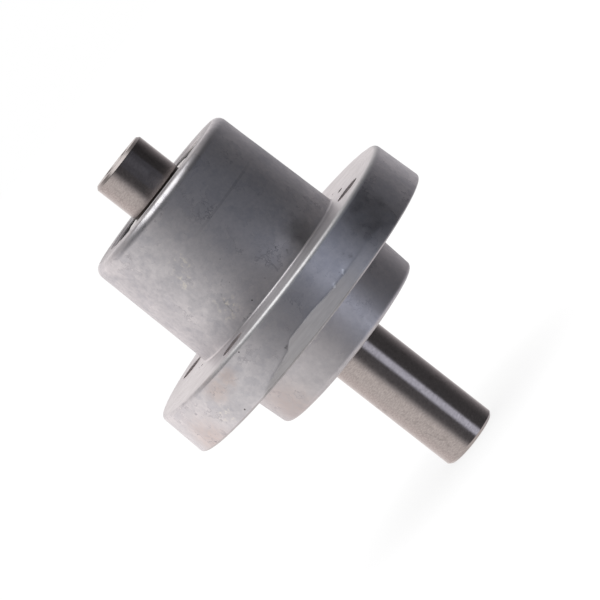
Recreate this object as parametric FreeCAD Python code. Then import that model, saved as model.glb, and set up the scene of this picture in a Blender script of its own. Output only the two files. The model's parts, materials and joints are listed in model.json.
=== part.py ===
import FreeCAD, Part
import math
import os

# A mower deck spindle: a cast housing that carries a plain steel shaft on two sealed ball bearings.
# Millimetres. The shaft's axis is Z, with the short end for the pulley up.
# The origin is the centre of the flange's upper face, the machined face that meets the deck.

# Housing casting, drafted away from the parting line at the flange's lower edge
tower_height = 53.2
tower_top_diameter = 74.0
tower_base_diameter = 76.0
tower_top_rounding = 3.6
tower_base_fillet = 0.7
flange_thickness = 20.0
flange_top_diameter = 129.0
flange_bottom_diameter = 130.8
flange_top_rounding = 1.7
flange_bottom_rounding = 1.1
hub_height = 18.6
hub_root_diameter = 77.0
hub_end_diameter = 74.8
hub_root_fillet = 1.2
hub_end_rounding = 2.0

# Bolt circle through the flange
bolt_count = 4
bolt_circle_diameter = 101.6
bolt_hole_diameter = 11.0
first_bolt_angle = -30.5

# Land left on the rim where the casting's gate was trimmed off, centred on its middle angle
gate_angle = -86.0
gate_height = 6.8
gate_top_width = 31.0
gate_bottom_width = 70.0
gate_proud = 0.08
gate_depth = 12.0

# Shaft
shaft_diameter = 25.4
short_stub = 18.3
long_stub = 58.2
shaft_chamfer = 1.1
stub_undercut_width = 1.2
stub_undercut_depth = 0.3
tapped_hole_diameter = 11.5
tapped_hole_depth = 32.0
tapped_hole_countersink = 1.2
drill_point_angle = 118.0

# Sealed ball bearings, the same above and below
bearing_diameter = 52.0
bearing_width = 15.0
bearing_corner = 1.0
ball_count = 9
ball_diameter = 7.94
race_radius_over_ball = 0.16
race_groove_depth = 1.5
race_running_gap = 0.04
seal_seat_depth = 1.4
seal_recess = 0.3
seal_lip_gap = 0.08
seal_seat_gap = 0.02
seal_web_share = 0.55
seal_bead_width = 1.5
seal_to_cage_gap = 0.45

# Pressed ribbon cages
cage_sheet = 0.8
cage_band = 3.2
cage_pocket_gap = 0.1
rivet_diameter = 1.3
rivet_head_diameter = 2.2
rivet_head_height = 0.45
rivet_hole_gap = 0.05

# Fits of the bearings in the housing and on the shaft
housing_fit = 0.01
shaft_fit = 0.01

# Bore of the housing
bore_mouth_chamfer = 0.8
bore_shoulder = 3.5
upper_bearing_setback = 1.0

# Spacer between the inner rings
spacer_wall = 3.0
spacer_fit = 0.05
spacer_chamfer = 0.4

# Internal retaining ring in the housing, under the lower bearing
housing_ring_thickness = 2.0
housing_ring_setback = 2.0
housing_ring_groove_depth = 1.5
housing_ring_wide = 4.0
housing_ring_narrow = 2.6
housing_ring_lug = 2.9
housing_ring_opening = 5.0
housing_ring_plier_hole = 2.5

# External retaining ring on the shaft, under the lower bearing
shaft_ring_thickness = 1.2
shaft_ring_groove_depth = 0.6
shaft_ring_wide = 3.0
shaft_ring_narrow = 1.9
shaft_ring_lug = 1.9
shaft_ring_opening = 3.0
shaft_ring_plier_hole = 2.0

# Play of a retaining ring in its groove, across its thickness and at the groove's floor
ring_side_play = 0.15
ring_floor_play = 0.1

# Heights and radii that follow from these
flange_bottom = -flange_thickness
hub_end = flange_bottom - hub_height
shaft_top = tower_height + short_stub
shaft_end = hub_end - long_stub
shaft_radius = shaft_diameter / 2
bore_radius = bearing_diameter / 2 + housing_fit
ball_radius = ball_diameter / 2
pitch_radius = (bearing_diameter + shaft_diameter) / 4
housing_groove_width = housing_ring_thickness + ring_side_play
shaft_groove_width = shaft_ring_thickness + ring_side_play
upper_bearing_face = tower_height - upper_bearing_setback
lower_bearing_face = hub_end + housing_ring_setback + housing_groove_width
upper_bearing_middle = upper_bearing_face - bearing_width / 2
lower_bearing_middle = lower_bearing_face + bearing_width / 2
upper_shoulder = upper_bearing_face - bearing_width
lower_shoulder = lower_bearing_face + bearing_width
outer_race_radius = pitch_radius + ball_radius + race_running_gap
inner_race_radius = pitch_radius - ball_radius - race_running_gap
outer_land_radius = outer_race_radius - race_groove_depth
inner_land_radius = inner_race_radius + race_groove_depth
seal_seat_radius = outer_land_radius + seal_seat_depth
pocket_radius = ball_radius + cage_pocket_gap
cage_reach = pocket_radius + cage_sheet
seal_inner_face = cage_reach + seal_to_cage_gap
seal_outer_face = bearing_width / 2 - seal_recess

origin = FreeCAD.Vector(0, 0, 0)
up = FreeCAD.Vector(0, 0, 1)


def turned(profile):
    """Solid of revolution about Z, from corner points given as radius and height."""
    points = [FreeCAD.Vector(radius, 0, height) for radius, height in profile]
    face = Part.Face(Part.makePolygon(points + points[:1]))
    return face.revolve(origin, up, 360)


def rounded(shape, corners):
    """Rounds the turned edges given as radius, height and rounding."""
    for radius, height, size in corners:
        edges = []
        for edge in shape.Edges:
            if not isinstance(edge.Curve, Part.Circle):
                continue
            centre = edge.Curve.Center
            off_axis = math.hypot(centre.x, centre.y)
            if max(off_axis, abs(centre.z - height), abs(edge.Curve.Radius - radius)) < 1e-5:
                edges.append(edge)
        shape = shape.makeFillet(size, edges)
    return shape


def polar(radius, angle, height=0.0):
    """Point at a radius and an angle in degrees."""
    turn = math.radians(angle)
    return FreeCAD.Vector(radius * math.cos(turn), radius * math.sin(turn), height)


def tube(inner, outer, low, high):
    """Plain sleeve between two radii and two heights."""
    return turned([(inner, low), (outer, low), (outer, high), (inner, high)])


def housing_blank():
    """The casting before machining: tower, flange and lower hub."""
    tower_top = tower_top_diameter / 2
    tower_base = tower_base_diameter / 2
    rim_top = flange_top_diameter / 2
    rim_bottom = flange_bottom_diameter / 2
    hub_root = hub_root_diameter / 2
    hub_tip = hub_end_diameter / 2
    blank = turned([
        (0, hub_end),
        (hub_tip, hub_end),
        (hub_root, flange_bottom),
        (rim_bottom, flange_bottom),
        (rim_top, 0),
        (tower_base, 0),
        (tower_top, tower_height),
        (0, tower_height),
    ])
    return rounded(blank, [
        (tower_top, tower_height, tower_top_rounding),
        (tower_base, 0, tower_base_fillet),
        (rim_top, 0, flange_top_rounding),
        (rim_bottom, flange_bottom, flange_bottom_rounding),
        (hub_root, flange_bottom, hub_root_fillet),
        (hub_tip, hub_end, hub_end_rounding),
    ])


def gate_land():
    """The trimmed gate: an upright land on the drafted rim, wide at the parting line."""
    rim = flange_bottom_diameter / 2 + gate_proud
    outline = [
        (-gate_bottom_width / 2, flange_bottom),
        (gate_bottom_width / 2, flange_bottom),
        (gate_top_width / 2, flange_bottom + gate_height),
        (-gate_top_width / 2, flange_bottom + gate_height),
    ]
    inner_side = math.sqrt(rim**2 - (gate_bottom_width / 2) ** 2) - gate_depth
    points = [FreeCAD.Vector(inner_side, across, height) for across, height in outline]
    face = Part.Face(Part.makePolygon(points + points[:1]))
    prism = face.extrude(FreeCAD.Vector(rim - inner_side + gate_depth, 0, 0))
    disc = Part.makeCylinder(rim, gate_height, FreeCAD.Vector(0, 0, flange_bottom))
    land = prism.common(disc)
    land.rotate(origin, up, gate_angle)
    return land


def bore_tool():
    """What is machined out along the axis: two bearing seats, a ring groove, mouths and the relief."""
    groove = bore_radius + housing_ring_groove_depth
    mouth = bore_radius + bore_mouth_chamfer
    relief = bore_radius - bore_shoulder
    groove_end = lower_bearing_face - housing_groove_width
    return turned([
        (0, hub_end),
        (mouth, hub_end),
        (bore_radius, hub_end + bore_mouth_chamfer),
        (bore_radius, groove_end),
        (groove, groove_end),
        (groove, lower_bearing_face),
        (bore_radius, lower_bearing_face),
        (bore_radius, lower_shoulder),
        (relief, lower_shoulder),
        (relief, upper_shoulder),
        (bore_radius, upper_shoulder),
        (bore_radius, tower_height - bore_mouth_chamfer),
        (mouth, tower_height),
        (0, tower_height),
    ])


def housing():
    """Casting with its bore and bolt holes machined."""
    body = housing_blank().fuse(gate_land()).cut(bore_tool())
    for number in range(bolt_count):
        angle = first_bolt_angle + number * 360 / bolt_count
        start = polar(bolt_circle_diameter / 2, angle, flange_bottom)
        body = body.cut(Part.makeCylinder(bolt_hole_diameter / 2, flange_thickness, start))
    return body


def tapped_hole(mouth, direction):
    """Profile points of a blind end hole, from the axis at its drill point to the shaft's end face."""
    hole = tapped_hole_diameter / 2
    point = hole / math.tan(math.radians(drill_point_angle / 2))
    bottom = mouth - direction * tapped_hole_depth
    return [
        (0, bottom - direction * point),
        (hole, bottom),
        (hole, mouth - direction * tapped_hole_countersink),
        (hole + tapped_hole_countersink, mouth),
    ]


def spindle_shaft():
    """Ground bar with chamfered ends, a ring groove, an undercut at the short stub and tapped end holes."""
    radius = shaft_radius
    groove = radius - shaft_ring_groove_depth
    groove_end = lower_bearing_face - shaft_groove_width
    undercut = radius - stub_undercut_depth
    undercut_top = upper_bearing_face + stub_undercut_width
    lower_hole = tapped_hole(shaft_end, -1)
    upper_hole = tapped_hole(shaft_top, 1)
    outside = [
        (radius - shaft_chamfer, shaft_end),
        (radius, shaft_end + shaft_chamfer),
        (radius, groove_end),
        (groove, groove_end),
        (groove, lower_bearing_face),
        (radius, lower_bearing_face),
        (radius, upper_bearing_face),
        (undercut, upper_bearing_face),
        (undercut, undercut_top),
        (radius, undercut_top),
        (radius, shaft_top - shaft_chamfer),
        (radius - shaft_chamfer, shaft_top),
    ]
    return turned(lower_hole + outside + upper_hole[::-1])


def bearing_spacer():
    """Sleeve that keeps the two inner rings apart on the shaft."""
    inner = shaft_radius + spacer_fit
    outer = inner + spacer_wall
    return turned([
        (inner, lower_shoulder),
        (outer - spacer_chamfer, lower_shoulder),
        (outer, lower_shoulder + spacer_chamfer),
        (outer, upper_shoulder - spacer_chamfer),
        (outer - spacer_chamfer, upper_shoulder),
        (inner, upper_shoulder),
    ])


def outer_ring():
    """Bearing outer ring about its middle, with its raceway and a seal seat at each side."""
    half = bearing_width / 2
    outer = bearing_diameter / 2
    seat = seal_inner_face
    ring = turned([
        (seal_seat_radius, -half),
        (outer, -half),
        (outer, half),
        (seal_seat_radius, half),
        (seal_seat_radius, seat),
        (outer_land_radius, seat),
        (outer_land_radius, -seat),
        (seal_seat_radius, -seat),
    ])
    ring = rounded(ring, [(outer, half, bearing_corner), (outer, -half, bearing_corner)])
    race = ball_radius + race_radius_over_ball
    return ring.cut(Part.makeTorus(outer_race_radius - race, race))


def inner_ring():
    """Bearing inner ring about its middle, with its raceway."""
    half = bearing_width / 2
    inner = shaft_radius + shaft_fit
    ring = tube(inner, inner_land_radius, -half, half)
    ring = rounded(ring, [(inner, half, bearing_corner), (inner, -half, bearing_corner)])
    race = ball_radius + race_radius_over_ball
    return ring.cut(Part.makeTorus(inner_race_radius + race, race))


def ball_angles(offset):
    """Angles of the balls, or of the webs between them with an offset of half a pitch."""
    return [(number + offset) * 360 / ball_count for number in range(ball_count)]


def balls():
    """The bearing's balls about its middle."""
    return Part.makeCompound([Part.makeSphere(ball_radius, polar(pitch_radius, a)) for a in ball_angles(0)])


def cage_half():
    """Upper ribbon of the cage: flat webs at the middle plane and a domed pocket over each ball."""
    inner = pitch_radius - cage_band / 2
    outer = pitch_radius + cage_band / 2
    centres = [polar(pitch_radius, angle) for angle in ball_angles(0)]
    domes = [Part.makeSphere(cage_reach, centre) for centre in centres]
    hollows = [Part.makeSphere(pocket_radius, centre) for centre in centres]
    ribbon = tube(inner, outer, 0, cage_reach).common(Part.makeCompound(domes))
    ribbon = tube(inner, outer, 0, cage_sheet).multiFuse(ribbon.Solids)
    ribbon = ribbon.cut(hollows)
    hole = rivet_diameter / 2 + rivet_hole_gap
    holes = [Part.makeCylinder(hole, cage_sheet, polar(pitch_radius, a)) for a in ball_angles(0.5)]
    return ribbon.cut(holes).removeSplitter()


def cage_rivets():
    """Rivets through the webs of the two cage ribbons, with a head on each side."""
    shank = rivet_diameter / 2
    head = rivet_head_diameter / 2
    top = cage_sheet + rivet_head_height
    rivet = turned([
        (0, -top),
        (head, -top),
        (head, -cage_sheet),
        (shank, -cage_sheet),
        (shank, cage_sheet),
        (head, cage_sheet),
        (head, top),
        (0, top),
    ])
    placed = []
    for angle in ball_angles(0.5):
        copy = rivet.copy()
        copy.translate(polar(pitch_radius, angle))
        placed.append(copy)
    return Part.makeCompound(placed)


def seal():
    """Upper moulded seal: a bead in the outer ring's seat, a thin web and a lip by the inner ring."""
    outer = seal_seat_radius - seal_seat_gap
    lip = inner_land_radius + seal_lip_gap
    thickness = seal_outer_face - seal_inner_face
    web_top = seal_inner_face + seal_web_share * thickness
    return turned([
        (lip, seal_inner_face),
        (outer, seal_inner_face),
        (outer, seal_outer_face),
        (outer - seal_bead_width / 2, seal_outer_face),
        (outer - seal_bead_width, web_top),
        (lip + seal_bead_width, web_top),
        (lip + seal_bead_width / 2, seal_outer_face),
        (lip, seal_outer_face),
    ])


def housing_ring():
    """Internal retaining ring, lying on its lower face, with its opening towards +X."""
    outer = bore_radius + housing_ring_groove_depth - ring_floor_play
    inner = outer - (housing_ring_wide + housing_ring_narrow) / 2
    shift = (housing_ring_wide - housing_ring_narrow) / 2
    thickness = housing_ring_thickness
    ring = Part.makeCylinder(outer, thickness)
    ring = ring.cut(Part.makeCylinder(inner, thickness, FreeCAD.Vector(shift, 0, 0)))
    lug_circle = outer - housing_ring_lug
    lug_angle = math.degrees(math.asin((housing_ring_opening / 2 + housing_ring_lug) / lug_circle))
    lugs = [polar(lug_circle, side * lug_angle) for side in (-1, 1)]
    ring = ring.fuse([Part.makeCylinder(housing_ring_lug, thickness, lug) for lug in lugs])
    gap_start = FreeCAD.Vector(0, -housing_ring_opening / 2, 0)
    ring = ring.cut(Part.makeBox(outer, housing_ring_opening, thickness, gap_start))
    hole = housing_ring_plier_hole / 2
    ring = ring.cut([Part.makeCylinder(hole, thickness, lug) for lug in lugs])
    return ring.removeSplitter()


def shaft_ring():
    """External retaining ring, lying on its lower face, with its opening towards +X."""
    inner = shaft_radius - shaft_ring_groove_depth + ring_floor_play
    outer = inner + (shaft_ring_wide + shaft_ring_narrow) / 2
    shift = (shaft_ring_wide - shaft_ring_narrow) / 2
    thickness = shaft_ring_thickness
    lug_circle = inner + shaft_ring_lug
    lug_angle = math.degrees(math.asin((shaft_ring_opening / 2 + shaft_ring_lug) / lug_circle))
    lugs = [polar(lug_circle, side * lug_angle) for side in (-1, 1)]
    ring = Part.makeCylinder(outer, thickness, FreeCAD.Vector(-shift, 0, 0))
    ring = ring.fuse([Part.makeCylinder(shaft_ring_lug, thickness, lug) for lug in lugs])
    ring = ring.cut(Part.makeCylinder(inner, thickness))
    gap_start = FreeCAD.Vector(0, -shaft_ring_opening / 2, 0)
    gap_reach = lug_circle + shaft_ring_lug
    ring = ring.cut(Part.makeBox(gap_reach, shaft_ring_opening, thickness, gap_start))
    hole = shaft_ring_plier_hole / 2
    ring = ring.cut([Part.makeCylinder(hole, thickness, lug) for lug in lugs])
    return ring.removeSplitter()


def raised(shape, height):
    """Copy of a shape moved up the axis."""
    copy = shape.copy()
    copy.translate(FreeCAD.Vector(0, 0, height))
    return copy


def flipped(shape):
    """Copy of a shape mirrored through the level plane at the origin."""
    return shape.mirror(origin, up)


def bearing(name, middle):
    """All the pieces of one sealed bearing, keyed by node name."""
    ribbon = cage_half()
    disc = seal()
    pieces = {
        "outer_ring": outer_ring(),
        "inner_ring": inner_ring(),
        "balls": balls(),
        "cage_upper_half": ribbon,
        "cage_lower_half": flipped(ribbon),
        "cage_rivets": cage_rivets(),
        "upper_seal": disc,
        "lower_seal": flipped(disc),
    }
    return {f"{name}_bearing_{piece}": raised(shape, middle) for piece, shape in pieces.items()}


def spindle():
    """Every node of the spindle, in place."""
    nodes = {
        "housing": housing(),
        "spindle_shaft": spindle_shaft(),
        "bearing_spacer": bearing_spacer(),
        "lower_housing_ring": raised(flipped(housing_ring()), lower_bearing_face),
        "lower_shaft_ring": raised(flipped(shaft_ring()), lower_bearing_face),
    }
    nodes.update(bearing("upper", upper_bearing_middle))
    nodes.update(bearing("lower", lower_bearing_middle))
    return nodes


os.makedirs("parts", exist_ok=True)
for node, shape in spindle().items():
    shape.exportStep(f"parts/{node}.step")
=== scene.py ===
import json
import math

import bmesh
import bpy
from mathutils import Matrix, Vector, noise


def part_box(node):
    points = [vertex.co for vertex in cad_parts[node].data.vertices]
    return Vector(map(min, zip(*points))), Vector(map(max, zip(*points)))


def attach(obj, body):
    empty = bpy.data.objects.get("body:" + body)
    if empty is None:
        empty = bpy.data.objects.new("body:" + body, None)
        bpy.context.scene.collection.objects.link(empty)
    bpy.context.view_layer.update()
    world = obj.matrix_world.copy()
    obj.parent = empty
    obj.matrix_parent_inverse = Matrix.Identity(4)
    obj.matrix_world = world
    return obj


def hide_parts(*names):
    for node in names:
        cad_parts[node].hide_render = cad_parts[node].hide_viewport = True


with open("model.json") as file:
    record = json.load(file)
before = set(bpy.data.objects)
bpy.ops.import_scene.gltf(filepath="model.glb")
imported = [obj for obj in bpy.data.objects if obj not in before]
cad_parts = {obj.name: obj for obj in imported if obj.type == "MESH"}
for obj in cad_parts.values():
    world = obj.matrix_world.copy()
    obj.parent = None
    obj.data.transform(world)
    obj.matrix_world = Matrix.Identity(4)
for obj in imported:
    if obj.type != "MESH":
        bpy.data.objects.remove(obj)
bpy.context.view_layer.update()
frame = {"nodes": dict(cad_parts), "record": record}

# A mower deck spindle: cast aluminium housing, ground steel shaft, two sealed ball bearings.
# Metres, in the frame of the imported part: Z is the shaft's axis, and z = 0 is the flange's upper face.
MM = 0.001

# Sizes that the frame gives
mounts = {mount["name"]: mount for mount in frame["record"]["mounts"]}
bolt_circle = mounts["flange_bolts"]["dims"]["pcd_mm"] / 2 * MM
bolt_hole = mounts["flange_bolts"]["dims"]["hole_r_mm"] * MM
tap_drill = mounts["pulley_bolt_hole"]["dims"]["r_mm"] * MM
hub_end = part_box("housing")[0].z
tower_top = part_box("housing")[1].z
shaft_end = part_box("spindle_shaft")[0].z
shaft_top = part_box("spindle_shaft")[1].z
shaft_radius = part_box("spindle_shaft")[1].x
upper_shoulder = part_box("upper_bearing_outer_ring")[0].z
upper_bearing_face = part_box("upper_bearing_outer_ring")[1].z
lower_bearing_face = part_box("lower_bearing_outer_ring")[0].z
lower_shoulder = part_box("lower_bearing_outer_ring")[1].z

# Housing casting, as it was drawn
flange_bottom = -20.0 * MM
tower_top_radius = 37.0 * MM
tower_base_radius = 38.0 * MM
tower_rounding = 3.6 * MM
tower_fillet = 0.7 * MM
rim_top_radius = 64.5 * MM
rim_bottom_radius = 65.4 * MM
rim_top_rounding = 1.7 * MM
rim_bottom_rounding = 1.1 * MM
hub_root_radius = 38.5 * MM
hub_end_radius = 37.4 * MM
hub_fillet = 1.2 * MM
hub_rounding = 2.0 * MM
bolts = 4
first_bolt_angle = -30.5
drill_overrun = 2 * MM

# Bore of the housing
bore = 26.01 * MM
bore_mouth = 0.8 * MM
bore_relief = 22.51 * MM
ring_groove = 27.51 * MM
ring_groove_width = 2.15 * MM

# Land on the rim where the gate was trimmed off: its outline in millimetres across and up the rim
gate_angle = -86.0
gate_proud = 0.08 * MM
gate_edge = 0.6 * MM
gate_outline = [(-40.5, -20.5), (-31.5, -17.3), (-24.5, -16.3), (-19.5, -15.2), (-16.5, -13.2),
                (-4, -13.0), (6, -14.0), (15, -14.4), (27, -14.3), (36, -15.4), (42, -20.5)]

# The outline counts within these radians to each side and down to this far below the rim
gate_sector = 0.8
gate_slack = 0.1 * MM

# Distance that a point beyond that is given
far_away = 1.0

# Waves of the cast skin: size and depth
skin_waves = [(11 * MM, 0.05 * MM), (3.5 * MM, 0.018 * MM)]

# Nicks in the rim: angle in degrees and height in millimetres
nicks = [(-73.2, -13.5), (-78.3, -13.9)]
nick_length = 1.7 * MM
nick_width = 0.4 * MM
nick_depth = 0.12 * MM
nick_lean = Vector((0.79, 0.61))
nick_dots = (-0.4, -0.2, 0.0, 0.2, 0.4)
nick_dot_size = 1.4 * nick_width

# Marks of handling on the casting: angle in degrees, height and size in millimetres
dark_specks = [(-104.1, 3.5, 0.4), (-152.6, -18.6, 0.42), (-114.2, -2.2, 0.4), (-129.6, -17.4, 0.5)]
smudges = [(-68, -11.6, 1.5), (-102.9, -15.2, 1.1), (-70.5, 3.4, 0.9), (-73, 8, 0.6), (-133.6, -5.1, 0.9)]
brown_patches = [(-145, -33, 17), (-154, -19, 17), (-131, -5, 8), (-124, -5, 6), (35, 30, 12), (80, -12, 10)]
smoky_patches = [(-51, -9, 15), (-56, 4, 10), (110, 25, 14)]
scuffs = [(-114, 32, 6), (-116, 9, 7), (-121, 26, 4), (-137, -13, 5), (150, 20, 8), (20, -10, 6)]

# Edge of a drop that dried on the tower: angle, height and radius
drop_mark = (-98.9, 6.2, 11.4)

# Line that the mould left round the tower: its height, and where and how far it still shows
mould_line = 34.0 * MM
mould_line_angle = -66
mould_line_reach = 25 * MM

# How far the edges of stains wander, and the share of their radius where they are full
wander = 7 * MM
stain_core = 0.2

# Distances from the axis between which the skin turns from the flange's to the rim's
rim_inside = 50 * MM
rim_outside = 60 * MM

# Pores that facing the flange opened: place and size in millimetres
pores = [(42.7, -4.8, 1.3), (40.3, 9.2, 0.45), (-39.9, -0.2, 0.6), (-41.5, 2.5, 0.35), (12, 43, 0.6),
         (-8, 55, 0.5)]
pore_stretch = (1.0, 1.3, 1.4, 1.0)

# Shaft
shaft_chamfer = 1.1 * MM
shaft_edge = 0.35 * MM
shaft_groove_depth = 0.6 * MM
shaft_groove_width = 1.35 * MM
undercut_depth = 0.3 * MM
undercut_width = 1.2 * MM
hole_depth = 32.0 * MM
hole_countersink = 1.2 * MM
drill_point_angle = 118.0
thread_pitch = 1.27 * MM
thread_depth = 0.55 * MM
thread_length = 26.0 * MM
thread_steps = 6

# Finenesses of the meshes: degrees between columns, finer where the nicks are, and steps of the rest
casting_step = 0.85
nick_step = 0.25
nick_sector = (-82.0, -70.0)
shaft_step = 2.5
arc_steps = 7
drill_segments = 64
pore_segments = 16
pore_rings = 10

# Rows this close to the ends of a run keep its shading flat
edge_margin = 0.25 * MM

# Edges that turn more than this are sharp, and sizes that differ less than this are the same
sharp_edge = math.radians(32)
same_size = 1e-7

# Walls whose normal points out at least this much have nicks and the gate's land
outward = 0.5


def colour(code):
    """Linear colour from an sRGB hex code."""
    channels = [int(code[i:i + 2], 16) / 255 for i in (1, 3, 5)]
    linear = [c / 12.92 if c <= 0.04045 else ((c + 0.055) / 1.055) ** 2.4 for c in channels]
    return (*linear, 1.0)


def add(tree, kind, inputs=None, **settings):
    """Adds a node with its settings, and links or sets its inputs."""
    node = tree.nodes.new(kind)
    for name, value in settings.items():
        setattr(node, name, value)
    for socket, value in (inputs or {}).items():
        if isinstance(value, bpy.types.NodeSocket):
            tree.links.new(value, node.inputs[socket])
        else:
            node.inputs[socket].default_value = value
    return node


def smooth(edge_low, edge_high, value):
    """Eases from 0 to 1 between two edges."""
    share = min(1.0, max(0.0, (value - edge_low) / (edge_high - edge_low)))
    return share * share * (3 - 2 * share)


def skin_radius(height):
    """Radius of the casting's outside at a height."""
    if height > 0:
        return tower_base_radius + (tower_top_radius - tower_base_radius) * height / tower_top
    if height > flange_bottom:
        return rim_top_radius + (rim_bottom_radius - rim_top_radius) * height / flange_bottom
    share = (height - flange_bottom) / (hub_end - flange_bottom)
    return hub_root_radius + (hub_end_radius - hub_root_radius) * share


def on_skin(angle, height):
    """Point on the casting's outside at an angle in degrees and a height."""
    radius = skin_radius(height)
    turn = math.radians(angle)
    return Vector((radius * math.cos(turn), radius * math.sin(turn), height))


# Pieces and turned meshes

def new_piece(name, data):
    """Puts an object in the scene."""
    piece = bpy.data.objects.new(name, data)
    bpy.context.scene.collection.objects.link(piece)
    return piece


def piece_of(name, mesh):
    """Puts a finished mesh in the scene."""
    data = bpy.data.meshes.new(name)
    mesh.to_mesh(data)
    mesh.free()
    return new_piece(name, data)


def profile(corners, closed):
    """Rows of a turned outline; corners are radius, height, rounding, finish and the next run's spacing."""
    rows = []
    count = len(corners)
    for index, (radius, height, rounding, finish, spacing) in enumerate(corners):
        here = Vector((radius, height))
        before = Vector(corners[index - 1][:2])
        after = Vector(corners[(index + 1) % count][:2])
        arc = [here]
        if rounding:
            back = (before - here).normalized()
            on = (after - here).normalized()
            half = back.angle(on) / 2
            start = here + back * rounding / math.tan(half)
            end = here + on * rounding / math.tan(half)
            centre = here + (back + on).normalized() * rounding / math.sin(half)
            arc = []
            for step in range(arc_steps + 1):
                spoke = (start - centre).slerp(end - centre, step / arc_steps)
                arc.append(centre + spoke * rounding)
        rows += [(point, finish) for point in arc]
        if index == count - 1 and not closed:
            break
        next_rounding = corners[(index + 1) % count][2]
        stop = after
        if next_rounding:
            turn_back = (here - after).normalized()
            turn_on = (Vector(corners[(index + 2) % count][:2]) - after).normalized()
            stop = after + turn_back * next_rounding / math.tan(turn_back.angle(turn_on) / 2)
        length = (stop - arc[-1]).length
        steps = max(1, round(length / spacing)) if spacing else 1
        shares = [step / steps for step in range(1, steps)]
        if length > 4 * edge_margin:
            shares = sorted({edge_margin / length, *shares, 1 - edge_margin / length})
        rows += [(arc[-1].lerp(stop, share), finish) for share in shares]
    return rows


def turned_mesh(name, rows, angles, closed, reshape):
    """Piece turned about Z from rows of radius and height; reshape moves a point by its row and angle."""
    mesh = bmesh.new()
    rings = []
    for index, row in enumerate(rows):
        point = row[0]
        if point.x < same_size:
            rings.append([mesh.verts.new((0, 0, point.y))])
            continue
        ring = []
        for angle in angles:
            radius, height = reshape(index, angle, *point)
            ring.append(mesh.verts.new((radius * math.cos(angle), radius * math.sin(angle), height)))
        rings.append(ring)
    count = len(rings)
    columns = len(angles)
    for low in range(count if closed else count - 1):
        first, second = rings[low], rings[(low + 1) % count]
        for column in range(columns):
            after = (column + 1) % columns
            corners = [first[column % len(first)], second[column % len(second)],
                       second[after % len(second)], first[after % len(first)]]
            face = mesh.faces.new(list(dict.fromkeys(corners)))
            face.material_index = rows[low][1]
            face.smooth = True
    bmesh.ops.recalc_face_normals(mesh, faces=mesh.faces)
    return piece_of(name, mesh)


# Materials

CAST, TURNED, DRILLED = 0, 1, 2
GROUND, CUT = 0, 1

# Sockets of a Mix node, by number because several share a name: of colours, and of numbers
UNDER, OVER, MIXED = 6, 7, 2
LESS, MORE = 2, 3


def empty_tree(owner):
    """Node tree of a material or a world, emptied."""
    owner.use_nodes = True
    owner.node_tree.nodes.clear()
    return owner.node_tree


def new_material(name):
    """Material with its tree and the coordinates of the piece."""
    material = bpy.data.materials.new(name)
    tree = empty_tree(material)
    place = add(tree, "ShaderNodeTexCoord").outputs["Object"]
    return material, tree, place


def finished(material, inputs, kind="ShaderNodeBsdfPrincipled"):
    """Gives a material its surface."""
    shader = add(material.node_tree, kind, inputs)
    add(material.node_tree, "ShaderNodeOutputMaterial", {"Surface": shader.outputs[0]})
    return material


def from_axis(tree, place):
    """The three coordinates apart, and the distance from the shaft's axis."""
    apart = add(tree, "ShaderNodeSeparateXYZ", {0: place}).outputs
    flat = add(tree, "ShaderNodeCombineXYZ", {"X": apart["X"], "Y": apart["Y"]}).outputs[0]
    out = add(tree, "ShaderNodeVectorMath", {0: flat}, operation="LENGTH").outputs["Value"]
    return apart, out


def lathe_rings(tree, out, height, spacing):
    """Rings that a lathe's tool leaves on faces and round walls."""
    feed = add(tree, "ShaderNodeMath", {0: out, 1: height}, operation="ADD").outputs[0]
    return add(tree, "ShaderNodeTexNoise", {"W": feed, "Scale": 1 / spacing, "Detail": 3},
               noise_dimensions="1D").outputs["Fac"]


def drawn_out_by_rings(tree):
    """What a shader needs to draw reflections out across rings round the shaft's axis."""
    around = add(tree, "ShaderNodeTangent", direction_type="RADIAL", axis="Z").outputs[0]
    return {"Anisotropic": 0.4, "Anisotropic Rotation": 0.25, "Tangent": around}


def blots(tree, place, spots, core):
    """Mask of round spots, each a point and a radius: 1 within a share of the radius, fading out beyond."""
    mask = None
    for point, radius in spots:
        away = add(tree, "ShaderNodeVectorMath", {0: place, 1: point}, operation="DISTANCE").outputs["Value"]
        spot = add(tree, "ShaderNodeMapRange", {"Value": away, "From Min": radius, "From Max": radius * core},
                   interpolation_type="SMOOTHSTEP").outputs[0]
        if mask:
            spot = add(tree, "ShaderNodeMath", {0: mask, 1: spot}, operation="MAXIMUM").outputs[0]
        mask = spot
    return mask


def skin_spots(marks, shift=0.0):
    """Points and radii of marks on the casting, moved as much as ragged coordinates are on the average."""
    moved = Vector((shift / 2,) * 3)
    return [(on_skin(angle, height * MM) + moved, size * MM) for angle, height, size in marks]


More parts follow.
